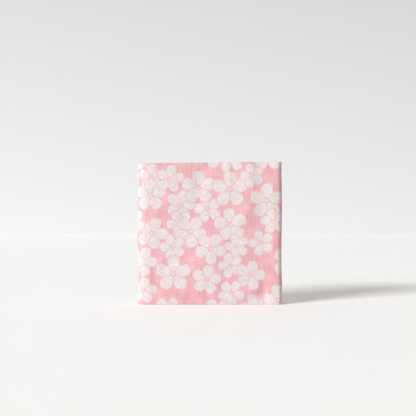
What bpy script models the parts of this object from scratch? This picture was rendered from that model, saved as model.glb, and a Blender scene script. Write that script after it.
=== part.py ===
"""A folded tenugui towel that stands on its edge, as one cloth solid.

The cloth is first folded in three across its width, which makes a band as wide as the pack is high.
The band is then folded in half three times along its length, so it lies in eight layers. Each layer
here stands for three plies. The solid is the band's section, one path that runs back and forth
through the eight layers, drawn up along Z.

Units are metres and +Z is up. The front faces -Y and +X is to its right. The origin is in the middle
of the underside, on the surface that the pack stands on.
"""

from collections import namedtuple

import bmesh
import bpy
import numpy as np

COLLECTION_NAME = "folded_tenugui_towel"
NODE_NAME = "folded_cloth"

# The pack's outside sizes, before the slight swell of its front and back
PACK_WIDTH = 0.115
PACK_HEIGHT = 0.113

# One layer is three plies of cloth, and the pitch leaves a gap of about half a millimetre
LAYER_COUNT = 8
LAYER_THICKNESS = 0.0012
LAYER_PITCH = 0.00175

# The layers in the order in which the band runs through them, from its hidden end to its other end.
# place counts from the back, 1, to the front, 8. The drops say how far the top edge of each layer
# hangs below the pack's height at its left and its right end. inset is how far its right-hand turn,
# or its free end, stops short of the pack's side. steps is how many faces it has along X.
Layer = namedtuple("Layer", "place drop_left drop_right inset steps")
LAYERS = (
    Layer(place=1, drop_left=0.0016, drop_right=0.0004, inset=0.0016, steps=14),
    Layer(place=8, drop_left=0.0013, drop_right=0.0000, inset=0.0000, steps=28),
    Layer(place=5, drop_left=0.0012, drop_right=0.0006, inset=0.0000, steps=5),
    Layer(place=4, drop_left=0.0014, drop_right=0.0017, inset=0.0009, steps=5),
    Layer(place=3, drop_left=0.0006, drop_right=0.0019, inset=0.0009, steps=5),
    Layer(place=6, drop_left=0.0007, drop_right=0.0010, inset=0.0000, steps=5),
    Layer(place=7, drop_left=0.0016, drop_right=0.0012, inset=0.0000, steps=5),
    Layer(place=2, drop_left=0.0018, drop_right=0.0011, inset=0.0007, steps=5),
)

# A turn has about one face for each of these lengths of its arc, and at least the fewest
TURN_FACE_LENGTH = 0.0021
FEWEST_TURN_FACES = 6

# Faces up the height. The lowest row is plain, so that the underside is flat
HEIGHT_ROWS = 21
PLAIN_ROW = 0.0018

# The swell that every layer shares. It fades to nothing at the sides, the top and the underside, and
# a higher power keeps it level for longer
CROWN_FRONT = 0.0008
CROWN_BACK = 0.0005
SWELL_POWER_ACROSS = 6
SWELL_POWER_UP = 6

# How far the outermost layers stand off the next ones: in the middle, and what share of that is left
# along the top and the underside. It fades slowly towards the round left side and only at the very
# edge on the right
LOOSE_FRONT = 0.001
LOOSE_BACK = 0.0004
LOOSE_SHARE_AT_EDGE = 0.8
LOOSE_FADE_LEFT = 0.012
LOOSE_FADE_RIGHT = 0.002

# Main creases of the outermost layers, each a soft ridge (height above 0) or trough (below 0) along
# a line from (x0, z0) to (x1, z1), with the half width at which it has faded to about a third
Crease = namedtuple("Crease", "x0 z0 x1 z1 half_width height")
FRONT_CREASES = (
    Crease(x0=0.030, z0=0.114, x1=0.031, z1=0.074, half_width=0.0055, height=0.0006),
    Crease(x0=0.041, z0=0.114, x1=0.042, z1=0.070, half_width=0.0055, height=-0.0006),
    Crease(x0=0.042, z0=0.070, x1=0.043, z1=0.004, half_width=0.006, height=-0.00035),
    Crease(x0=0.053, z0=0.108, x1=0.053, z1=0.066, half_width=0.005, height=0.00045),
    Crease(x0=0.053, z0=0.066, x1=0.054, z1=0.002, half_width=0.0055, height=0.0007),
    Crease(x0=0.002, z0=0.114, x1=-0.007, z1=0.099, half_width=0.005, height=-0.0006),
    Crease(x0=-0.007, z0=0.099, x1=-0.011, z1=0.076, half_width=0.005, height=-0.0006),
    Crease(x0=-0.033, z0=0.092, x1=-0.030, z1=0.066, half_width=0.006, height=0.0004),
    Crease(x0=-0.042, z0=0.020, x1=-0.043, z1=0.002, half_width=0.004, height=-0.00035),
    Crease(x0=-0.043, z0=0.001, x1=-0.024, z1=0.005, half_width=0.0045, height=0.00075),
    Crease(x0=0.001, z0=0.046, x1=-0.003, z1=0.028, half_width=0.015, height=0.001),
    Crease(x0=0.018, z0=-0.001, x1=0.038, z1=0.009, half_width=0.004, height=0.0006),
    Crease(x0=0.030, z0=-0.005, x1=0.042, z1=0.000, half_width=0.006, height=-0.001),
    Crease(x0=0.047, z0=0.008, x1=0.047, z1=-0.002, half_width=0.004, height=0.0006),
)
BACK_CREASES = (
    Crease(x0=-0.030, z0=0.100, x1=-0.012, z1=0.050, half_width=0.012, height=0.0004),
    Crease(x0=0.022, z0=0.090, x1=0.034, z1=0.020, half_width=0.012, height=-0.0003),
    Crease(x0=-0.046, z0=0.060, x1=-0.040, z1=0.012, half_width=0.005, height=-0.0003),
    Crease(x0=0.006, z0=0.112, x1=0.000, z1=0.078, half_width=0.005, height=0.0003),
)

# The front's right-hand edge is pressed in at one place, and the layers behind it give way with it
DENT_Z = 0.076
DENT_HALF_WIDTH = 0.006
DENT_HALF_HEIGHT = 0.012
DENT_DEPTH = 0.0011

# The outline's unevenness: the outermost quarter of each half of the width wanders by this much, in
# this many waves up the height
SIDE_WANDER = 0.00025
SIDE_WAVES = 1.6
SIDE_ZONE = 0.25

CLOTH_COLOUR = (0.87, 0.62, 0.63, 1.0)
CLOTH_ROUGHNESS = 0.92


def layer_y(place):
    """Middle of a layer, from its place: places run from the back, at +Y, to the front, at -Y."""
    return ((LAYER_COUNT + 1) / 2 - place) * LAYER_PITCH


def turn_radius(place_a, place_b):
    """A turn joins two layers by half a circle, so its radius is half of the way between them."""
    return abs(place_a - place_b) / 2 * LAYER_PITCH


def left_centre_x():
    """All turns at the left side share one centre, half the pack's thickness in from the side."""
    widest = turn_radius(LAYER_COUNT, 1)
    return -PACK_WIDTH / 2 + widest + LAYER_THICKNESS / 2


def right_turns():
    """The pairs of layers that are joined at the right: the second and third of LAYERS, and so on."""
    return [(LAYERS[i], LAYERS[i + 1]) for i in range(1, LAYER_COUNT - 1, 2)]


def right_centre_x(one, other):
    """A right-hand turn touches the pack's side, less its inset. One that lies inside another turn
    shares that turn's centre."""
    low, high = sorted((one.place, other.place))
    wrapping = [
        turn_radius(a.place, b.place)
        for a, b in right_turns()
        if min(a.place, b.place) <= low and high <= max(a.place, b.place)
    ]
    return PACK_WIDTH / 2 - one.inset - max(wrapping) - LAYER_THICKNESS / 2


def run_points(layer, x_from, x_to):
    """A straight run along X, as rows of x, y and how far the top edge drops there."""
    x = np.linspace(x_from, x_to, layer.steps + 1)
    share = (x + PACK_WIDTH / 2) / PACK_WIDTH
    drop = layer.drop_left + (layer.drop_right - layer.drop_left) * share
    return np.column_stack([x, np.full_like(x, layer_y(layer.place)), drop])


def turn_points(start, end, centre_x, side):
    """Half a circle between the last point of one run and the first of the next, ends left out."""
    radius = abs(end[1] - start[1]) / 2
    count = max(FEWEST_TURN_FACES, round(np.pi * radius / TURN_FACE_LENGTH))
    share = np.arange(1, count) / count
    angle = np.pi * share
    x = centre_x + side * radius * np.sin(angle)
    y = (start[1] + end[1]) / 2 + (start[1] - end[1]) / 2 * np.cos(angle)
    drop = start[2] + (end[2] - start[2]) * share
    return np.column_stack([x, y, drop])


def band_path():
    """The band's section from end to end: runs through LAYERS in order, joined by turns.

    The first run starts at a free end on the right and goes left. After that, turns are at the left
    and at the right by turns, and the last run ends at a free end on the right.
    """
    right_x = {}
    for one, other in right_turns():
        right_x[one.place] = right_x[other.place] = right_centre_x(one, other)
    pieces = []
    for index, layer in enumerate(LAYERS):
        goes_left = index % 2 == 0
        free_x = PACK_WIDTH / 2 - layer.inset
        ends = (left_centre_x(), right_x.get(layer.place, free_x))
        run = run_points(layer, *(reversed(ends) if goes_left else ends))
        if pieces:
            side = 1 if goes_left else -1
            pieces.append(turn_points(pieces[-1][-1], run[0], run[0, 0], side))
        pieces.append(run)
    return np.vstack(pieces)


def smooth(share):
    """A soft step: 0 below 0, 1 above 1, with level ends."""
    share = np.clip(share, 0.0, 1.0)
    return share * share * (3 - 2 * share)


def crease_relief(x, z, creases):
    """Sum of the creases: each one's height, fading with the squared distance from its line."""
    total = np.zeros_like(x)
    for crease in creases:
        along = np.array([crease.x1 - crease.x0, crease.z1 - crease.z0])
        share = ((x - crease.x0) * along[0] + (z - crease.z0) * along[1]) / (along @ along)
        share = np.clip(share, 0.0, 1.0)
        away_x = x - crease.x0 - share * along[0]
        away_z = z - crease.z0 - share * along[1]
        total += crease.height * np.exp(-(away_x**2 + away_z**2) / crease.half_width**2)
    return total


def swell(x, z):
    """1 over the middle of the pack and 0 at its sides, top and underside."""
    across = 1 - np.clip(np.abs(2 * x / PACK_WIDTH), 0, 1) ** SWELL_POWER_ACROSS
    up = np.clip((z - PLAIN_ROW) / (PACK_HEIGHT - PLAIN_ROW), 0, 1)
    return across * (1 - np.abs(2 * up - 1) ** SWELL_POWER_UP)


def loose_layer(x, z, loose, creases):
    """How far an outermost layer stands off the next one: a plateau with its creases, never inwards."""
    left = smooth((PACK_WIDTH / 2 + x) / LOOSE_FADE_LEFT)
    right = smooth((PACK_WIDTH / 2 - x) / LOOSE_FADE_RIGHT)
    plateau = loose * (LOOSE_SHARE_AT_EDGE + (1 - LOOSE_SHARE_AT_EDGE) * swell(x, z))
    return left * right * np.maximum(plateau + crease_relief(x, z, creases), 0.0)


def side_dent(x, z):
    """The depth of the soft hollow at the front's right-hand edge."""
    across = (x - PACK_WIDTH / 2) / DENT_HALF_WIDTH
    up = (z - DENT_Z) / DENT_HALF_HEIGHT
    return DENT_DEPTH * np.exp(-(across**2) - up**2)


def shape_cloth(x, y, z):
    """Moves the points of the plain stack to the uneven one. All layers share the crown and the
    dent, in proportion to their place, and only the outermost ones are loose and creased."""
    level = np.maximum(z, PLAIN_ROW)
    half_depth = layer_y(1)
    front_share = np.clip((half_depth - y) / (2 * half_depth), 0, 1)
    crown = -CROWN_FRONT * front_share + CROWN_BACK * (1 - front_share)
    front_only = smooth((layer_y(LAYER_COUNT - 1) - y) / LAYER_PITCH)
    back_only = smooth((y - layer_y(2)) / LAYER_PITCH)
    front = front_only * loose_layer(x, level, LOOSE_FRONT, FRONT_CREASES)
    back = back_only * loose_layer(x, level, LOOSE_BACK, BACK_CREASES)
    dent = front_share * side_dent(x, level)
    moved_y = y + crown * swell(x, level) - front + back + dent
    wander = SIDE_WANDER * np.sin(2 * np.pi * SIDE_WAVES * level / PACK_HEIGHT + np.sign(x))
    near_side = smooth((np.abs(2 * x / PACK_WIDTH) - 1 + SIDE_ZONE) / SIDE_ZONE)
    return x + wander * near_side, moved_y, z


def height_rows():
    """Heights of the rows as shares of the height: the plain row, then even ones."""
    even = np.linspace(PLAIN_ROW / PACK_HEIGHT, 1.0, HEIGHT_ROWS)
    return np.concatenate([[0.0], even])


def cloth_points():
    """Every grid point: the path's x and y, drawn up to the height that the top edge leaves it."""
    path = band_path()
    x, row = np.meshgrid(path[:, 0], height_rows(), indexing="ij")
    y = np.broadcast_to(path[:, 1:2], x.shape)
    top = (PACK_HEIGHT - path[:, 2])[:, None]
    x, y, z = shape_cloth(x, y, row * top)
    x = x - (x.min() + x.max()) / 2
    y = y - (y.min() + y.max()) / 2
    return np.stack([x, y, z], axis=-1)


def cloth_mesh(points):
    """A grid with the shape of the points, whose faces are then given the layer's thickness."""
    along, up = points.shape[0] - 1, points.shape[1] - 1
    bm = bmesh.new()
    bmesh.ops.create_grid(bm, x_segments=along, y_segments=up, size=0.5)
    for vert in bm.verts:
        i = round((vert.co.x + 0.5) * along)
        j = round((vert.co.y + 0.5) * up)
        vert.co = points[i, j]
    mesh = bpy.data.meshes.new(NODE_NAME)
    bm.to_mesh(mesh)
    bm.free()
    mesh.shade_smooth()
    return mesh


def cloth_material():
    """Matte printed cotton: the mean of its pink ground and its pale blossoms."""
    material = bpy.data.materials.new("printed_cotton")
    material.use_nodes = True
    shader = material.node_tree.nodes["Principled BSDF"]
    shader.inputs["Base Color"].default_value = CLOTH_COLOUR
    shader.inputs["Roughness"].default_value = CLOTH_ROUGHNESS
    shader.inputs["Metallic"].default_value = 0.0
    return material


def clear_scene():
    """Removes whatever the scene holds."""
    for item in list(bpy.data.objects):
        bpy.data.objects.remove(item, do_unlink=True)


def main():
    """Builds the cloth in a collection of its own."""
    clear_scene()
    collection = bpy.data.collections.new(COLLECTION_NAME)
    bpy.context.scene.collection.children.link(collection)
    mesh = cloth_mesh(cloth_points())
    mesh.materials.append(cloth_material())
    cloth = bpy.data.objects.new(NODE_NAME, mesh)
    collection.objects.link(cloth)
    thickness = cloth.modifiers.new("layer_thickness", "SOLIDIFY")
    thickness.thickness = LAYER_THICKNESS
    thickness.offset = 0.0
    thickness.use_even_offset = True


main()
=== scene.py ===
# %% [markdown]
# # A folded tenugui towel
# A tenugui is a plain length of thin printed cotton with selvedges along its two long sides and
# cut ends. This one is folded in three across its width, which makes a band, and the band is folded
# in half three times along its length. The pack stands on its edge.
#
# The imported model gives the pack's place and size as one thick cloth in eight layers. This script
# lays the real thin cloth, all 24 plies of it, along the same folds, and prints it.

# %% Load the frame
from collections import namedtuple

import bpy
import numpy as np
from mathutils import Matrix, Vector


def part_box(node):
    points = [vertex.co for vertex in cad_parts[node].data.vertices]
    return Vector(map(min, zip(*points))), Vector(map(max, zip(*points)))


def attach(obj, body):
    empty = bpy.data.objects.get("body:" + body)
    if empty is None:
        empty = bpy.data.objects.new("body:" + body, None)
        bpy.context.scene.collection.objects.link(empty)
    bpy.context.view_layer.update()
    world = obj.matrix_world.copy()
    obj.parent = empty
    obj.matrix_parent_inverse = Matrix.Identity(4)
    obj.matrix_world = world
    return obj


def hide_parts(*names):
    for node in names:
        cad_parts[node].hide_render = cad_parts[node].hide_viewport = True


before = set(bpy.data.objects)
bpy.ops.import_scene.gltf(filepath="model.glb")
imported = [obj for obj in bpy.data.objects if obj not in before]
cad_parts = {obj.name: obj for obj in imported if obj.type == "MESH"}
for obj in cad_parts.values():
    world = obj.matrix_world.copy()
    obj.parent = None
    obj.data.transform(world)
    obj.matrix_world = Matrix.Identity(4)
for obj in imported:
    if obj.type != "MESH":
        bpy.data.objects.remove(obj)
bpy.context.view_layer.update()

MM = 0.001
low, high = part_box("folded_cloth")
print("pack in mm:", np.round((np.array(high) - np.array(low)) / MM, 1))

# %% [markdown]
# ## The camera
# A camera that looks level keeps upright edges upright, which suits a thing shown face on. It could
# also be tipped down a little, but then the sides of the pack would lean. So it stays level, a
# little below the top of the pack, and the film is moved slightly to place the pack in the picture.

# %% Place the camera
PICTURE_PX = 416
PACK_CENTRE_PX = 209.6
PACK_FOOT_PX = 304.9
HORIZON_PX = 200.0
MM_PER_PX = 0.79
LENS_MM = 85.0
SENSOR_MM = 36.0

focal_px = LENS_MM / SENSOR_MM * PICTURE_PX
camera_distance = focal_px * MM_PER_PX * MM
camera_height = (PACK_FOOT_PX - HORIZON_PX) * MM_PER_PX * MM
camera_x = -(PACK_CENTRE_PX - PICTURE_PX / 2) * MM_PER_PX * MM

camera_data = bpy.data.cameras.new("camera")
camera_data.lens = LENS_MM
camera_data.sensor_width = SENSOR_MM
camera_data.shift_y = (HORIZON_PX - PICTURE_PX / 2) / PICTURE_PX
camera_data.clip_start = 0.01
camera = bpy.data.objects.new("camera", camera_data)
camera.location = (camera_x, low[1] - camera_distance, camera_height)
camera.rotation_euler = (np.pi / 2, 0.0, 0.0)
bpy.context.scene.collection.objects.link(camera)
bpy.context.scene.camera = camera
print(f"camera {camera_distance:.3f} m in front of the pack, {camera_height:.3f} m up")


# %% [markdown]
# ## Helpers
# Most pieces here are grids: a function gives each grid point its place, and one call writes them
# all into a mesh. That is faster than adding points one by one, and the shape stays readable as a
# formula.

# %% Write a grid into a mesh
def grid_mesh(name, points, uv=None, material=None):
    """A mesh of four-sided faces between the points of a (rows, columns, 3) array. uv, where given,
    holds each point's place on the flat cloth. Faces look along (row step) x (column step)."""
    rows, columns = points.shape[:2]
    index = np.arange(rows * columns).reshape(rows, columns)
    corners = (index[:-1, :-1], index[1:, :-1], index[1:, 1:], index[:-1, 1:])
    faces = np.stack(corners, axis=-1).reshape(-1, 4)
    mesh = bpy.data.meshes.new(name)
    mesh.vertices.add(rows * columns)
    mesh.vertices.foreach_set("co", points.reshape(-1).astype(np.float32))
    mesh.loops.add(faces.size)
    mesh.loops.foreach_set("vertex_index", faces.reshape(-1).astype(np.int32))
    mesh.polygons.add(len(faces))
    mesh.polygons.foreach_set("loop_start", np.arange(0, faces.size, 4, dtype=np.int32))
    mesh.update(calc_edges=True)
    if uv is not None:
        layer = mesh.uv_layers.new(name="cloth")
        layer.data.foreach_set("uv", uv.reshape(-1, 2)[faces.reshape(-1)].reshape(-1).astype(np.float32))
    mesh.shade_smooth()
    if material is not None:
        mesh.materials.append(material)
    thing = bpy.data.objects.new(name, mesh)
    bpy.context.scene.collection.objects.link(thing)
    return thing


def smooth(share):
    """A soft step: 0 below 0 and 1 above 1, and three squares less two cubes between them."""
    share = np.clip(share, 0.0, 1.0)
    return share * share * (3 - 2 * share)


# %% A small kit for shader nodes
class Nodes:
    """Adds nodes to one tree, each with its settings, input values and links in a single call."""

    def __init__(self, tree):
        self.tree = tree

    def add(self, kind, *inputs, out=0, **settings):
        """One node. An input is a number, a vector, or another node's output; None leaves it."""
        node = self.tree.nodes.new(kind)
        for key, value in settings.items():
            setattr(node, key, value)
        for socket, value in zip(node.inputs, inputs, strict=False):
            self.put(socket, value)
        return node.outputs[out]

    def put(self, socket, value):
        """Links an output to the socket, or sets the socket's own value."""
        if isinstance(value, bpy.types.NodeSocket):
            self.tree.links.new(value, socket)
        elif value is not None:
            socket.default_value = value

    def math(self, operation, *inputs, clamp=False):
        """A Math node."""
        return self.add("ShaderNodeMath", *inputs, operation=operation, use_clamp=clamp)

    def length(self, one, other):
        """The square root of the sum of both squares."""
        return self.math("SQRT", self.math("MULTIPLY_ADD", one, one, self.math("MULTIPLY", other, other)))

    def vector(self, operation, *inputs, out=0):
        """A Vector Math node."""
        return self.add("ShaderNodeVectorMath", *inputs, operation=operation, out=out)

    def mix(self, share, first, second):
        """A blend of two colours."""
        node = self.tree.nodes.new("ShaderNodeMix")
        node.data_type = "RGBA"
        self.put(node.inputs["Factor"], share)
        self.put(node.inputs["A"], first)
        self.put(node.inputs["B"], second)
        return node.outputs["Result"]


def new_material(name):
    """A material, its node kit and its Principled shader."""
    material = bpy.data.materials.new(name)
    material.use_nodes = True
    return material, Nodes(material.node_tree), material.node_tree.nodes["Principled BSDF"]


# %% [markdown]
# ## The table and the wall
# The pack stands on a pale matte surface in front of a pale wall, and the line where they meet
# lies behind the middle of the pack. Two big plain sheets are enough for that. The wall's colour is
# painted a little paler at its foot: painted light, for the brighter light low on the wall.

# %% Make the floor and the wall
FLOOR_LINE_PX = 234.0
STAGE_HALF_WIDTH = 8.0
STAGE_FRONT = -6.0
STAGE_HEIGHT = 5.0
FLOOR_COLOUR = (0.97, 0.97, 0.965, 1.0)
WALL_COLOUR = (0.585, 0.58, 0.585, 1.0)
# The wall's foot colour is painted light: paler paint in place of the brighter light low on the wall.
WALL_FOOT_PAINTED_LIGHT = (0.72, 0.71, 0.705, 1.0)
WALL_PAINTED_LIGHT_HEIGHT = 0.6
STAGE_ROUGHNESS = 0.8
STAGE_GLOSS = 0.2

wall_distance = focal_px * camera_height / (FLOOR_LINE_PX - HORIZON_PX)
wall_y = camera.location.y + wall_distance


def stage_sheet(name, corner, side_a, side_b, material):
    """A flat sheet from a corner along two sides: corner + i side_a + j side_b."""
    i, j = np.meshgrid(np.linspace(0, 1, 3), np.linspace(0, 1, 3), indexing="ij")
    points = np.array(corner) + i[..., None] * np.array(side_a) + j[..., None] * np.array(side_b)
    return grid_mesh(name, points, material=material)


def matte(name, colour):
    """A plain matte material. The colour can be set again or linked afterwards."""
    material, kit, shader = new_material(name)
    shader.inputs["Base Color"].default_value = colour
    shader.inputs["Roughness"].default_value = STAGE_ROUGHNESS
    shader.inputs["Specular IOR Level"].default_value = STAGE_GLOSS
    return material, kit, shader


floor_paint = matte("floor_paint", FLOOR_COLOUR)[0]
wall_paint, wall_kit, wall_shader = matte("wall_paint", WALL_COLOUR)
# Painted light: the wall's colour turns paler towards its foot, below the height of the fade.
above_floor = wall_kit.add("ShaderNodeSeparateXYZ", wall_kit.add("ShaderNodeTexCoord", out=3), out=2)
painted_light_share = wall_kit.math("DIVIDE", above_floor, WALL_PAINTED_LIGHT_HEIGHT, clamp=True)
wall_kit.put(wall_shader.inputs["Base Color"], wall_kit.mix(painted_light_share, WALL_FOOT_PAINTED_LIGHT, WALL_COLOUR))

width = (2 * STAGE_HALF_WIDTH, 0, 0)
floor_depth = (0, wall_y - STAGE_FRONT, 0)
floor = stage_sheet("floor", (-STAGE_HALF_WIDTH, STAGE_FRONT, 0), width, floor_depth, floor_paint)
wall = stage_sheet("wall", (-STAGE_HALF_WIDTH, wall_y, 0), width, (0, 0, STAGE_HEIGHT), wall_paint)
print(f"wall {wall_y:.2f} m behind the pack")

# %% [markdown]
# ## The light
# A wide soft lamp stands far off on the left and in front, like a window, so the round fold on the
# left is the brightest part, the front is lit at a slant that shows its creases, and the shadow runs
# away to the right. The sky stands for the light that the room throws back. It is brighter overhead,
# which lights the surface more than the upright front.

# %% Set the light
KEY_AZIMUTH = 42.0
KEY_ELEVATION = 24.0
KEY_DISTANCE = 18.0
KEY_TARGET = (0, 0, 0.05)
KEY_WIDTH = 6.8
KEY_HEIGHT = 2.8
KEY_WATTS = 3700.0
KEY_COLOUR = (0.9, 0.96, 1.0)
SKY_COLOUR = (1.0, 0.88, 0.77, 1.0)
SKY_LEVEL = 0.13
SKY_OVERHEAD = 0.57


def from_left(azimuth, elevation, distance):
    """A place seen from the pack: azimuth turns from the left side towards the front, in degrees."""
    a, e = np.radians([azimuth, elevation])
    return distance * np.array([-np.cos(e) * np.cos(a), -np.cos(e) * np.sin(a), np.sin(e)])


def window_lamp(place, target):
    """A wide lamp at a place, turned so that its face looks at the target."""
    data = bpy.data.lights.new("key", "AREA")
    data.shape = "RECTANGLE"
    data.size, data.size_y = KEY_WIDTH, KEY_HEIGHT
    data.energy = KEY_WATTS
    data.color = KEY_COLOUR
    lamp = bpy.data.objects.new("key", data)
    away = np.array(place) - np.array(target)
    away = away / np.linalg.norm(away)
    lamp.rotation_euler = (np.arccos(away[2]), 0.0, np.arctan2(away[0], -away[1]))
    lamp.location = place
    bpy.context.scene.collection.objects.link(lamp)


def room_sky():
    """A world whose strength grows from SKY_LEVEL at the horizon to SKY_OVERHEAD straight above."""
    world = bpy.data.worlds.new("sky")
    world.use_nodes = True
    kit = Nodes(world.node_tree)
    background = world.node_tree.nodes["Background"]
    background.inputs["Color"].default_value = SKY_COLOUR
    direction = kit.add("ShaderNodeSeparateXYZ", kit.add("ShaderNodeTexCoord")).node.outputs
    rise = kit.math("MAXIMUM", direction[2], 0.0)
    strength = kit.math("MULTIPLY_ADD", rise, SKY_OVERHEAD - SKY_LEVEL, SKY_LEVEL)
    kit.put(background.inputs["Strength"], strength)
    return world


key_place = from_left(KEY_AZIMUTH, KEY_ELEVATION, KEY_DISTANCE)
window_lamp(key_place, KEY_TARGET)
bpy.context.scene.world = room_sky()
bpy.context.scene.view_settings.view_transform = "Standard"
print("key lamp at", np.round(key_place, 2))

# %% [markdown]
# ## The folds
# Seen from above, the band is one path that runs back and forth through eight layers. Three
# foldings in half put its first stretch at the back, its second at the front, and the rest
# between them, so the outermost fold on the left wraps round all the others.
#
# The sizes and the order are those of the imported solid. Each row of the table is one layer, in the
# order in which the band runs through them.

# %% Fold sizes
PACK_WIDTH = 115 * MM
PACK_HEIGHT = 113 * MM
LAYER_COUNT = 8
LAYER_THICKNESS = 1.2 * MM
LAYER_PITCH = 1.75 * MM

Layer = namedtuple("Layer", "place drop_left drop_right inset steps")
LAYERS = (
    Layer(place=1, drop_left=1.6, drop_right=0.4, inset=1.6, steps=60),
    Layer(place=8, drop_left=1.3, drop_right=0.0, inset=0.0, steps=120),
    Layer(place=5, drop_left=1.2, drop_right=0.6, inset=0.0, steps=12),
    Layer(place=4, drop_left=1.4, drop_right=1.7, inset=0.9, steps=12),
    Layer(place=3, drop_left=0.6, drop_right=1.9, inset=0.9, steps=12),
    Layer(place=6, drop_left=0.7, drop_right=1.0, inset=0.0, steps=12),
    Layer(place=7, drop_left=1.6, drop_right=1.2, inset=0.0, steps=12),
    Layer(place=2, drop_left=1.8, drop_right=1.1, inset=0.7, steps=12),
)
FEWEST_TURN_STEPS = 8
TURN_STEP = 0.85 * MM


def layer_y(place):
    """Middle of a layer. Places count from the back, 1, to the front, 8."""
    return ((LAYER_COUNT + 1) / 2 - place) * LAYER_PITCH


def turn_radius(place_a, place_b):
    """Half of the way between the two layers that the turn joins."""
    return abs(place_a - place_b) / 2 * LAYER_PITCH


left_centre_x = -PACK_WIDTH / 2 + turn_radius(LAYER_COUNT, 1) + LAYER_THICKNESS / 2
right_turns = [(LAYERS[i], LAYERS[i + 1]) for i in range(1, LAYER_COUNT - 1, 2)]


def right_centre_x(one, other):
    """A right-hand turn touches the pack's side, less its inset. A turn inside it shares its centre."""
    low_place, high_place = sorted((one.place, other.place))
    wrapping = [
        turn_radius(a.place, b.place)
        for a, b in right_turns
        if min(a.place, b.place) <= low_place and high_place <= max(a.place, b.place)
    ]
    return PACK_WIDTH / 2 - one.inset * MM - max(wrapping) - LAYER_THICKNESS / 2


# %% Lay out the band's path
def run_rows(layer, x_from, x_to):
    """A straight stretch: rows of x, y, the outward direction x and y, and the top edge's drop."""
    x = np.linspace(x_from, x_to, layer.steps + 1)
    drop = layer.drop_left + (layer.drop_right - layer.drop_left) * (x / PACK_WIDTH + 0.5)
    facing = -1.0 if x_to > x_from else 1.0
    ones = np.ones_like(x)
    return np.column_stack([x, layer_y(layer.place) * ones, 0 * ones, facing * ones, drop * MM])


def turn_rows(start, end, centre_x, side):
    """Half a circle from one stretch to the next. The outward direction turns with it."""
    radius = abs(end[1] - start[1]) / 2
    count = max(FEWEST_TURN_STEPS, round(np.pi * radius / TURN_STEP))
    share = np.arange(1, count) / count
    angle = np.pi * share
    out_x = side * np.sin(angle)
    out_y = np.sign(start[1] - end[1]) * np.cos(angle)
    drop = start[4] + (end[4] - start[4]) * share
    middle_y = (start[1] + end[1]) / 2
    flip = np.sign(start[3]) * np.sign(start[1] - end[1])
    return np.column_stack(
        [centre_x + radius * out_x, middle_y + radius * out_y, flip * out_x, flip * out_y, drop]
    )


def band_path():
    """All stretches and turns, one after the other."""
    right_x = {}
    for one, other in right_turns:
        right_x[one.place] = right_x[other.place] = right_centre_x(one, other)
    pieces = []
    for index, layer in enumerate(LAYERS):
        goes_left = index % 2 == 0
        free_x = PACK_WIDTH / 2 - layer.inset * MM
        ends = (left_centre_x, right_x.get(layer.place, free_x))
        run = run_rows(layer, *(reversed(ends) if goes_left else ends))
        if pieces:
            pieces.append(turn_rows(pieces[-1][-1], run[0], run[0, 0], 1 if goes_left else -1))
        pieces.append(run)
    return np.vstack(pieces)


path = band_path()
path_steps = np.linalg.norm(np.diff(path[:, :2], axis=0), axis=1)
print(f"band {path_steps.sum():.3f} m long, in {len(path)} sections")

# %% [markdown]
# ## The three plies
# Across its width the cloth is folded like a letter: the middle third lies on the outside, one third
# turns in over the top, and the last third turns in under the bottom and closes over it. So the
# top and bottom edges of the front are both folds.
#
# Each row of the table is one stretch across the width, given by its place through the thickness of
# the layer and by its height, as a share of the pack's height and an offset.

# %% Lay out the plies
PLY_PITCH = 0.45 * MM
CLOTH_THICKNESS = 0.28 * MM
INNER_EDGE_LIFT = 2.2 * MM
OUTER_EDGE_DROP = 1.4 * MM

Ply = namedtuple("Ply", "through share_from offset_from share_to offset_to steps")
PLIES = (
    Ply(-PLY_PITCH, 1.0, -OUTER_EDGE_DROP, 0.0, PLY_PITCH, 18),
    Ply(PLY_PITCH, 0.0, PLY_PITCH, 1.0, -PLY_PITCH / 2, 92),
    Ply(0.0, 1.0, -PLY_PITCH / 2, 0.0, INNER_EDGE_LIFT, 16),
)
PLY_TURN_STEPS = 6


def ply_rows(ply):
    """A flat ply: rows of its place through the layer, its share of the height and its offset."""
    share = np.linspace(0, 1, ply.steps + 1)
    return np.column_stack(
        [
            np.full_like(share, ply.through),
            ply.share_from + (ply.share_to - ply.share_from) * share,
            ply.offset_from + (ply.offset_to - ply.offset_from) * share,
        ]
    )


def ply_turn(start, end):
    """Half a circle between two plies, down past the end of a falling ply and up past a rising one."""
    radius = abs(end[0] - start[0]) / 2
    angle = np.pi * np.arange(1, PLY_TURN_STEPS) / PLY_TURN_STEPS
    through = (start[0] + end[0]) / 2 + (start[0] - end[0]) / 2 * np.cos(angle)
    away = 1.0 if start[1] > 0.5 else -1.0
    return np.column_stack(
        [through, np.full_like(angle, start[1]), start[2] + away * radius * np.sin(angle)]
    )


def across_rows():
    """The whole width of the cloth, from one selvedge to the other."""
    pieces = []
    for ply in PLIES:
        rows = ply_rows(ply)
        if pieces:
            pieces.append(ply_turn(pieces[-1][-1], rows[0]))
        pieces.append(rows)
    return np.vstack(pieces)


across = across_rows()
across_flat = np.column_stack([across[:, 0], across[:, 1] * PACK_HEIGHT + across[:, 2]])
across_steps = np.linalg.norm(np.diff(across_flat, axis=0), axis=1)
print(f"cloth {across_steps.sum():.3f} m wide, in {len(across)} rows")

# %% [markdown]
# ## The unevenness
# Folded cotton never lies flat. The whole pack swells a little, its outermost layers lie looser than
# the others, and soft troughs and ridges run over the front where the cloth was once folded another
# way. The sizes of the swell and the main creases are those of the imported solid. The finer ones
# are added here.

# %% Creases, in millimetres on the front: x from the middle, z from the table
PLAIN_ROW = 1.8 * MM
CROWN_FRONT = 0.8 * MM
CROWN_BACK = 0.5 * MM
SWELL_POWER_ACROSS = 6
SWELL_POWER_UP = 6
LOOSE_FRONT = 1.0 * MM
LOOSE_BACK = 0.4 * MM
LOOSE_SHARE_AT_EDGE = 0.8
LOOSE_FADE_LEFT = 12 * MM
LOOSE_FADE_RIGHT = 2 * MM

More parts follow.
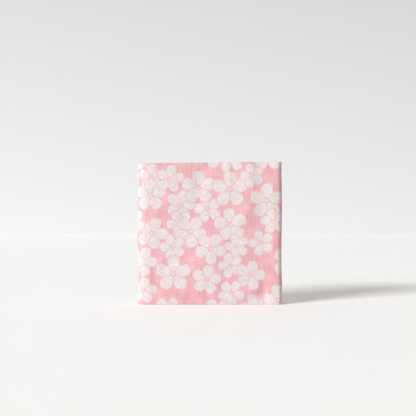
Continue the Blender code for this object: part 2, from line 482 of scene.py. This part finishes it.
Crease = namedtuple("Crease", "x0 z0 x1 z1 half_width height")
FRONT_CREASES = (
    Crease(30, 114, 31, 74, 5.5, 0.6),
    Crease(41, 114, 42, 70, 5.5, -0.6),
    Crease(42, 70, 43, 4, 6.0, -0.35),
    Crease(53, 108, 53, 66, 5.0, 0.45),
    Crease(53, 66, 54, 2, 5.5, 0.7),
    Crease(2, 114, -7, 99, 5.0, -0.6),
    Crease(-7, 99, -11, 76, 5.0, -0.6),
    Crease(-33, 92, -30, 66, 6.0, 0.4),
    Crease(-42, 20, -43, 2, 4.0, -0.35),
    Crease(-43, 1, -24, 5, 4.5, 0.75),
    Crease(1, 46, -3, 28, 15.0, 1.0),
    Crease(18, -1, 38, 9, 4.0, 0.6),
    Crease(30, -5, 42, 0, 6.0, -1.0),
    Crease(47, 8, 47, -2, 4.0, 0.6),
)
FINE_CREASES = (
    Crease(13, 114, 16, 99, 3.0, 0.35),
    Crease(18, 113, 20, 97, 2.5, -0.18),
    Crease(33, 97, 40, 93, 2.5, 0.35),
    Crease(6, 80, 27, 69, 3.5, 0.35),
    Crease(20, 61, 31, 77, 3.5, 0.3),
    Crease(24, 64, 46, 66, 3.0, 0.25),
    Crease(24, 34, 46, 41, 3.5, 0.35),
    Crease(-52, 80, -44, 66, 4.0, 0.3),
    Crease(-20, 72, -16, 58, 4.0, -0.35),
    Crease(-41, 20, -29, 36, 4.5, -0.35),
    Crease(-4, 113, -11, 107, 2.5, 0.4),
    Crease(-44, 27, -44, 10, 2.5, -0.4),
    Crease(-36, 29, -28, 32, 2.5, -0.25),
    Crease(24, 60, 27, 40, 4.0, 0.25),
    Crease(-46, 106, -28, 100, 3.5, 0.25),
    Crease(-26, 22, -2, 17, 4.0, -0.25),
    Crease(4, 28, 22, 22, 4.5, 0.25),
    Crease(-3, 10, 3, -2, 3.0, -0.35),
    Crease(17, 6, 37, 13.5, 3.5, 0.6),
    Crease(20, -1, 41, 6, 4.5, -1.0),
    Crease(38, 89, 44, 87, 5.0, 0.3),
    Crease(48, 52, 55, 46, 2.5, -0.25),
    Crease(47, 34, 56, 30, 2.5, 0.25),
)
BACK_CREASES = (
    Crease(-30, 100, -12, 50, 12.0, 0.4),
    Crease(22, 90, 34, 20, 12.0, -0.3),
    Crease(-46, 60, -40, 12, 5.0, -0.3),
    Crease(6, 112, 0, 78, 5.0, 0.3),
)


def crease_relief(x, z, creases):
    """Sum of the creases: each one's height, which fades with the squared distance from its line."""
    total = np.zeros_like(x)
    for crease in creases:
        x0, z0, x1, z1, half_width, height = (value * MM for value in crease)
        along_x, along_z = x1 - x0, z1 - z0
        share = ((x - x0) * along_x + (z - z0) * along_z) / (along_x**2 + along_z**2)
        share = np.clip(share, 0.0, 1.0)
        squared = (x - x0 - share * along_x) ** 2 + (z - z0 - share * along_z) ** 2
        total += height * np.exp(-squared / half_width**2)
    return total


# %% Small waves all over, as in any cloth that was once wet
Wave = namedtuple("Wave", "length turn start height")
WAVES = (
    Wave(length=31.0, turn=12, start=0.4, height=0.06),
    Wave(length=23.0, turn=74, start=2.1, height=0.05),
    Wave(length=17.0, turn=-38, start=4.0, height=0.04),
    Wave(length=11.0, turn=28, start=1.2, height=0.03),
    Wave(length=8.3, turn=-61, start=5.1, height=0.02),
    Wave(length=6.1, turn=-8, start=3.3, height=0.014),
)
WAVE_BEND = 0.35


def rumple(x, z):
    """A sum of slanting sine waves, each one's line bent by a slower wave across it."""
    total = np.zeros_like(x)
    for wave in WAVES:
        turn = np.radians(wave.turn)
        across = x * np.cos(turn) + z * np.sin(turn)
        beside = z * np.cos(turn) - x * np.sin(turn)
        step = 2 * np.pi / (wave.length * MM)
        bend = WAVE_BEND * np.sin(beside * step * WAVE_BEND + wave.start)
        total += wave.height * MM * np.sin(step * across + wave.start + 2 * np.pi * bend)
    return total


def swell(x, z):
    """1 over the middle of the pack, and 0 at its sides, top and underside."""
    wide = 1 - np.clip(np.abs(2 * x / PACK_WIDTH), 0, 1) ** SWELL_POWER_ACROSS
    up = np.clip((z - PLAIN_ROW) / (PACK_HEIGHT - PLAIN_ROW), 0, 1)
    return wide * (1 - np.abs(2 * up - 1) ** SWELL_POWER_UP)


def loose_layer(x, z, loose, creases):
    """How far an outermost layer stands off the next one: a plateau with its creases on it."""
    sides = smooth((PACK_WIDTH / 2 + x) / LOOSE_FADE_LEFT)
    sides = sides * smooth((PACK_WIDTH / 2 - x) / LOOSE_FADE_RIGHT)
    plateau = loose * (LOOSE_SHARE_AT_EDGE + (1 - LOOSE_SHARE_AT_EDGE) * swell(x, z))
    return sides * np.maximum(plateau + crease_relief(x, z, creases) + rumple(x, z), 0.0)


# %% The whole change of shape
SIDE_WANDER = 0.25 * MM
SIDE_WAVES = 1.6
SIDE_ZONE = 0.25
DENT_Z = 76 * MM
DENT_HALF_HEIGHT = 12 * MM
DENT_HALF_WIDTH = 6 * MM
DENT_DEPTH = 1.1 * MM


def side_dent(x, z):
    """The front's right-hand edge is pressed in at one place: a soft hollow around it."""
    squared = ((x - PACK_WIDTH / 2) / DENT_HALF_WIDTH) ** 2 + ((z - DENT_Z) / DENT_HALF_HEIGHT) ** 2
    return DENT_DEPTH * np.exp(-squared)


def shape_cloth(x, y, z):
    """Moves the points of the plain stack to the uneven one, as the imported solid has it."""
    level = np.maximum(z, PLAIN_ROW)
    half_depth = layer_y(1)
    front_share = np.clip((half_depth - y) / (2 * half_depth), 0, 1)
    crown = -CROWN_FRONT * front_share + CROWN_BACK * (1 - front_share)
    front_only = smooth((layer_y(LAYER_COUNT - 1) - y) / LAYER_PITCH)
    back_only = smooth((y - layer_y(2)) / LAYER_PITCH)
    front = front_only * loose_layer(x, level, LOOSE_FRONT, FRONT_CREASES + FINE_CREASES)
    back = back_only * loose_layer(x, level, LOOSE_BACK, BACK_CREASES)
    wander = SIDE_WANDER * np.sin(2 * np.pi * SIDE_WAVES * level / PACK_HEIGHT + np.sign(x))
    near_side = smooth((np.abs(2 * x / PACK_WIDTH) - 1 + SIDE_ZONE) / SIDE_ZONE)
    dent = front_share * side_dent(x, level)
    return x + wander * near_side, y + crown * swell(x, level) - front + back + dent, z


def cloth_points():
    """Each section of the band's path, drawn up through each row of the plies, and then shaped."""
    x = path[:, None, 0] + path[:, None, 2] * across[None, :, 0]
    y = path[:, None, 1] + path[:, None, 3] * across[None, :, 0]
    top = PACK_HEIGHT - path[:, None, 4]
    z = across[None, :, 1] * top + across[None, :, 2]
    return np.stack(shape_cloth(x, y, z), axis=-1)


points = cloth_points()
middle = np.array([(low[0] + high[0]) / 2, (low[1] + high[1]) / 2])
own_middle = (points[..., :2].min(axis=(0, 1)) + points[..., :2].max(axis=(0, 1))) / 2
points[..., :2] += middle - own_middle
points[..., 2] += CLOTH_THICKNESS / 2
print("cloth box in mm:", np.round(np.ptp(points.reshape(-1, 3), axis=0) / MM, 1))

# %% [markdown]
# ## The place on the flat cloth
# A print follows the cloth round every fold, so its pattern needs each point's place on the flat
# cloth. That is kept as a UV map in metres, measured along the outermost ply, which shows.

# %% Measure the cloth
outer = path[:, :2] + path[:, 2:4] * PLY_PITCH
along = np.concatenate([[0.0], np.cumsum(np.linalg.norm(np.diff(outer, axis=0), axis=1))])
over = np.concatenate([[0.0], np.cumsum(across_steps)])
# The front layer starts at the first section, past the back one, that lies at its place.
front_start = LAYERS[0].steps + 1
front_start += np.argmin(np.abs(path[front_start:, 1] - layer_y(LAYER_COUNT)))
print_x = along - along[front_start] + (path[front_start, 0] + PACK_WIDTH / 2)
print_z = over - over[PLIES[0].steps + PLY_TURN_STEPS]
print_u, print_v = np.meshgrid(print_x, print_z, indexing="ij")
uv = np.stack([print_u, print_v], axis=-1)
print(f"flat cloth {np.ptp(print_x):.3f} by {np.ptp(print_z):.3f} m")

# %% [markdown]
# ## The print
# Pale five-petalled blossoms are scattered over a pink ground. Each blossom lies on the ones before
# it, and where two meet, a thin pink line is left round the upper one.
#
# The pattern is a sum of small formulas. A group of nodes draws one blossom: it turns the angle
# round the centre back into one fifth of a circle, so one petal's egg shape serves for all five. The
# groups are chained, and what passes along the chain is the distance from the edge of the white.

# %% One blossom as a node group, in millimetres for a blossom of size 1
PETAL_CENTRE = 8.1
PETAL_HALF_LENGTH = 5.9
PETAL_HALF_WIDTH = 4.75
PETAL_TAPER = 0.3
LEAST_TAPER = 0.5
PETAL_ROUNDNESS = 1.5
PETAL_GAP = 0.4
LINE_WIDTH = 0.45
CORE_RADIUS = 2.3
DOT_PLACE = 2.0
DOT_RADIUS = 0.9
FIFTH = 2 * np.pi / 5
REPEAT_MM = (128.0, 140.0, 1.0)


def blossom_group():
    """The distances from the edges of the white and of the deep pink dots after one more blossom,
    above 0 inside them.

    Inputs are the place on the cloth, the blossom's centre, size and turn, and both distances before.
    A petal is an egg whose broad end is a little squared: the fourth root of out^4 + side^4 plus
    PETAL_ROUNDNESS times out^2 side^2, which would be an ellipse with 2 in its place. A narrow seam
    of the ground is left between one petal and the next, and a deep pink dot lies at each seam's
    inner end, so the blossom has an eye of five dots round a pale core.
    """
    tree = bpy.data.node_groups.new("blossom", "ShaderNodeTree")
    for name, kind in (
        ("Place", "NodeSocketVector"),
        ("Centre", "NodeSocketVector"),
        ("Turn", "NodeSocketFloat"),
        ("Size", "NodeSocketFloat"),
        ("White", "NodeSocketFloat"),
        ("Eye", "NodeSocketFloat"),
    ):
        tree.interface.new_socket(name, in_out="INPUT", socket_type=kind)
    for name in ("White", "Eye"):
        tree.interface.new_socket(name, in_out="OUTPUT", socket_type="NodeSocketFloat")
    kit = Nodes(tree)
    given = tree.nodes.new("NodeGroupInput").outputs
    half = [side / 2 for side in REPEAT_MM]
    away = kit.vector("SUBTRACT", given["Place"], given["Centre"])
    away = kit.vector("WRAP", away, half, [-side for side in half])
    parts = kit.add("ShaderNodeSeparateXYZ", away).node.outputs
    radius = kit.math("DIVIDE", kit.length(parts[0], parts[1]), given["Size"])
    angle = kit.math("SUBTRACT", kit.math("ARCTAN2", parts[1], parts[0]), given["Turn"])
    angle = kit.math("WRAP", angle, FIFTH / 2, -FIFTH / 2)
    out = kit.math("MULTIPLY", radius, kit.math("COSINE", angle))
    side = kit.math("MULTIPLY", radius, kit.math("SINE", angle))
    out = kit.math("MULTIPLY_ADD", out, 1 / PETAL_HALF_LENGTH, -PETAL_CENTRE / PETAL_HALF_LENGTH)
    side = kit.math("MULTIPLY", side, 1 / PETAL_HALF_WIDTH)
    taper = kit.math("MAXIMUM", kit.math("MULTIPLY_ADD", out, -PETAL_TAPER, 1.0), LEAST_TAPER)
    side_squared = kit.math("MULTIPLY", kit.math("MULTIPLY", side, side), taper)
    out_squared = kit.math("MULTIPLY", out, out)
    squarer = kit.math("MULTIPLY_ADD", side_squared, PETAL_ROUNDNESS, out_squared)
    side_fourth = kit.math("MULTIPLY", side_squared, side_squared)
    fourth = kit.math("MULTIPLY_ADD", squarer, out_squared, side_fourth)
    egg = kit.math("SQRT", kit.math("SQRT", fourth))
    inside = kit.math("MULTIPLY_ADD", egg, -PETAL_HALF_WIDTH, PETAL_HALF_WIDTH)
    to_seam = kit.math("SUBTRACT", FIFTH / 2, kit.math("ABSOLUTE", angle))
    beside = kit.math("MULTIPLY", radius, kit.math("SINE", to_seam))
    ahead = kit.math("MULTIPLY_ADD", radius, kit.math("COSINE", to_seam), -DOT_PLACE)
    inside = kit.math("MINIMUM", inside, kit.math("SUBTRACT", beside, PETAL_GAP / 2))
    inside = kit.math("MULTIPLY", inside, given["Size"])
    dot = kit.math("SUBTRACT", DOT_RADIUS, kit.length(beside, ahead))
    outside_line = kit.math("SUBTRACT", -LINE_WIDTH, inside)
    white = kit.math("MINIMUM", given["White"], outside_line)
    white = kit.math("MAXIMUM", white, inside)
    white = kit.math("MAXIMUM", white, kit.math("SUBTRACT", CORE_RADIUS, radius))
    white = kit.math("MINIMUM", white, kit.math("MULTIPLY", dot, -1.0))
    eye = kit.math("MAXIMUM", kit.math("MINIMUM", given["Eye"], outside_line), dot)
    result = tree.nodes.new("NodeGroupOutput")
    tree.links.new(white, result.inputs["White"])
    tree.links.new(eye, result.inputs["Eye"])
    return tree


# %% The blossoms of one repeat: centre in mm from the front's lower left corner, radius and turn
Blossom = namedtuple("Blossom", "x z radius turn")
BLOSSOMS = (
    Blossom(25.2, -5.2, 11.5, 60),
    Blossom(63.6, -7.5, 12.5, 48),
    Blossom(93.8, -3.5, 12.0, 31),
    Blossom(60.6, 121.5, 12.5, 54),
    Blossom(74.4, 115.8, 11.0, 27),
    Blossom(5.5, 118.5, 11.5, 22),
    Blossom(11.8, 102, 10.5, 18),
    Blossom(104.4, 120, 14.0, 18),
    Blossom(56.2, 76.3, 11.0, 34),
    Blossom(34.9, 79.8, 11.5, 0),
    Blossom(49.2, 93.3, 13.3, 18),
    Blossom(74, 91.5, 14.0, 18),
    Blossom(91.6, 102.3, 9.5, 36),
    Blossom(103.2, 82.2, 13.6, 18),
    Blossom(10.8, 87.7, 12.8, 18),
    Blossom(26.5, 100.4, 11.0, 8),
    Blossom(108.1, 66, 10.0, 30),
    Blossom(34, 65.2, 10.5, 46),
    Blossom(42.8, 58.2, 13.0, 57),
    Blossom(74.3, 63.6, 13.0, 25),
    Blossom(12.3, 57, 12.5, -2),
    Blossom(28.6, 46, 10.3, 36),
    Blossom(58.6, 44.8, 12.5, 57),
    Blossom(79.6, 46.4, 9.5, 36),
    Blossom(98.8, 49, 10.0, 37),
    Blossom(4.4, 34.4, 12.0, 69),
    Blossom(74.4, 31.1, 10.0, 36),
    Blossom(89.9, 23.3, 11.8, 2),
    Blossom(29.2, 24.7, 14.0, 18),
    Blossom(55.5, 19.8, 11.5, 8),
    Blossom(75, 9.2, 10.5, 57),
    Blossom(120.8, 34, 13.0, 0),
    Blossom(5.5, 11.2, 10.5, 10),
    Blossom(112.4, 3.2, 12.5, 28),
    Blossom(121.5, 101, 8.0, 30),
    Blossom(124.5, 66, 11.0, 50),
)
FULL_RADIUS = PETAL_CENTRE + PETAL_HALF_LENGTH

# %% [markdown]
# ## The colours and the threads
# Dyed cotton is never one flat colour. Its threads are uneven, which streaks the ground both ways, and
# the pale print lies thinly on them, so a little grey and pink shows through. Each of these is a
# noise whose spots are stretched along the threads. The weave is too fine to be seen one thread at
# a time from here, and gives the surface its soft grain.

# %% The cloth's colours and threads
PINK = (0.755, 0.43, 0.45, 1.0)
DEEP_PINK = (0.635, 0.31, 0.335, 1.0)
PETAL_WHITE = (0.725, 0.645, 0.63, 1.0)
PETAL_GREY = (0.595, 0.53, 0.515, 1.0)
PETAL_PINK = (0.68, 0.535, 0.545, 1.0)
EYE_PINK = (0.69, 0.375, 0.43, 1.0)
EDGE_SOFTNESS = 0.4
EDGE_WOBBLE = (0.9, 0.9, 0.0)
THREAD_PITCH_MM = 0.42
CROSSING_SHARPNESS = 1.5
LEVEL_SHARE = 0.4

# Spots of noise in one millimetre, across the cloth and up it
UPRIGHT_THREADS = (1.15, 0.05)
LEVEL_THREADS = (0.06, 1.3)
DYE_PATCHES = (0.13, 0.1)
THIN_SPOTS = (0.95, 0.4)
TINT_SPOTS = (0.7, 0.5)
WOBBLE_SPOTS = 0.35


def weave_height(kit, place):
    """Plain weave: each cell shows the round back of the thread that lies on top in it."""
    parts = kit.add("ShaderNodeSeparateXYZ", place).node.outputs
    waves = [kit.math("SINE", kit.math("MULTIPLY", part, np.pi / THREAD_PITCH_MM)) for part in parts[:2]]
    which = kit.math("MULTIPLY", waves[0], waves[1])
    which = kit.math("MULTIPLY_ADD", which, CROSSING_SHARPNESS, 0.5, clamp=True)
    backs = [kit.math("MULTIPLY", wave, wave) for wave in waves]
    difference = kit.math("SUBTRACT", backs[0], backs[1])
    return kit.math("MULTIPLY_ADD", difference, which, backs[1])


def noise(kit, place, stretch, detail=1.0):
    """Noise from 0 to 1 whose spots are 1/stretch mm wide and high."""
    scaled = kit.vector("MULTIPLY", place, (*stretch, 0.0))
    spots = kit.add("ShaderNodeTexNoise", scaled)
    spots.node.inputs["Scale"].default_value = 1.0
    spots.node.inputs["Detail"].default_value = detail
    return spots


def thread_streaks(kit, place):
    """Uneven threads: long thin spots both ways, the upright ones stronger."""
    upright = noise(kit, place, UPRIGHT_THREADS)
    level = noise(kit, place, LEVEL_THREADS)
    return kit.math("MULTIPLY_ADD", level, LEVEL_SHARE, upright)


# %% The cloth's material
STREAK_STRENGTH = 1.7
PATCH_STRENGTH = 1.5
MOTTLE_STRENGTH = 3.6
TINT_STRENGTH = 3.0
TINT_MIDDLE = 0.55
TINT_SHARE = 0.3
FAR_OUTSIDE = -9.0
ROUGHNESS = 0.9
GLOSS = 0.15
SHEEN = 0.4
SHEEN_ROUGHNESS = 0.65
STREAK_RELIEF = 0.5
THREAD_RELIEF = 0.08 * MM
RELIEF_STRENGTH = 0.35


def spread(kit, value, middle, strength, share=0.5):
    """The share at the middle value, and more or less away from it, kept from 0 to 1."""
    away = kit.math("SUBTRACT", value, middle)
    return kit.math("MULTIPLY_ADD", away, strength, share, clamp=True)


def printed_cotton():
    """Matte cotton with its blossoms, its uneven threads and its weave."""
    material, kit, shader = new_material("printed_cotton")
    flat = kit.add("ShaderNodeUVMap", uv_map="cloth")
    place = kit.vector("SCALE", flat)
    place.node.inputs["Scale"].default_value = 1 / MM
    wobble = kit.add("ShaderNodeTexNoise", place, out=1)
    wobble.node.inputs["Scale"].default_value = WOBBLE_SPOTS
    wobble.node.inputs["Detail"].default_value = 2.0
    shifted = kit.vector("MULTIPLY_ADD", wobble, EDGE_WOBBLE, place)
    group = blossom_group()
    white, eye = FAR_OUTSIDE, FAR_OUTSIDE
    for blossom in BLOSSOMS:
        node = material.node_tree.nodes.new("ShaderNodeGroup")
        node.node_tree = group
        kit.put(node.inputs["Place"], shifted)
        node.inputs["Centre"].default_value = (blossom.x, blossom.z, 0)
        node.inputs["Turn"].default_value = np.radians(blossom.turn)
        node.inputs["Size"].default_value = blossom.radius / FULL_RADIUS
        kit.put(node.inputs["White"], white)
        kit.put(node.inputs["Eye"], eye)
        white, eye = node.outputs["White"], node.outputs["Eye"]
    white, eye = (
        kit.math("MULTIPLY_ADD", distance, 1 / (2 * EDGE_SOFTNESS), 0.5, clamp=True)
        for distance in (white, eye)
    )
    streaks = thread_streaks(kit, place)
    patches = spread(kit, noise(kit, place, DYE_PATCHES), 0.5, PATCH_STRENGTH)
    dye = spread(kit, streaks, (1 + LEVEL_SHARE) / 2, STREAK_STRENGTH, patches)
    ground = kit.mix(eye, kit.mix(dye, PINK, DEEP_PINK), EYE_PINK)
    thin = spread(kit, noise(kit, place, THIN_SPOTS, detail=2.0), 0.5, MOTTLE_STRENGTH)
    tint = noise(kit, place, TINT_SPOTS, detail=2.0)
    tint = spread(kit, tint, TINT_MIDDLE, TINT_STRENGTH, TINT_SHARE)
    petal = kit.mix(tint, kit.mix(thin, PETAL_WHITE, PETAL_GREY), PETAL_PINK)
    kit.put(shader.inputs["Base Color"], kit.mix(white, ground, petal))
    shader.inputs["Roughness"].default_value = ROUGHNESS
    shader.inputs["Specular IOR Level"].default_value = GLOSS
    shader.inputs["Sheen Weight"].default_value = SHEEN
    shader.inputs["Sheen Roughness"].default_value = SHEEN_ROUGHNESS
    height = kit.math("MULTIPLY_ADD", streaks, STREAK_RELIEF, weave_height(kit, place))
    bump = kit.add("ShaderNodeBump")
    bump.node.inputs["Strength"].default_value = RELIEF_STRENGTH
    bump.node.inputs["Distance"].default_value = THREAD_RELIEF
    kit.put(bump.node.inputs["Height"], height)
    kit.put(shader.inputs["Normal"], bump)
    return material


cotton = printed_cotton()
print(len(BLOSSOMS), "blossoms in a repeat,", len(cotton.node_tree.nodes), "nodes")

# %% [markdown]
# ## The cloth
# The points, their places on the flat cloth and the material make one sheet, and Solidify gives it
# the thickness of the cotton.

# %% Make the cloth
cloth = grid_mesh("cloth", points, uv=uv, material=cotton)
thickness = cloth.modifiers.new("cotton_thickness", "SOLIDIFY")
thickness.thickness = CLOTH_THICKNESS
thickness.offset = 0.0
thickness.use_even_offset = True
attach(cloth, "root")
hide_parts("folded_cloth")
print("faces on one side:", len(cloth.data.polygons))
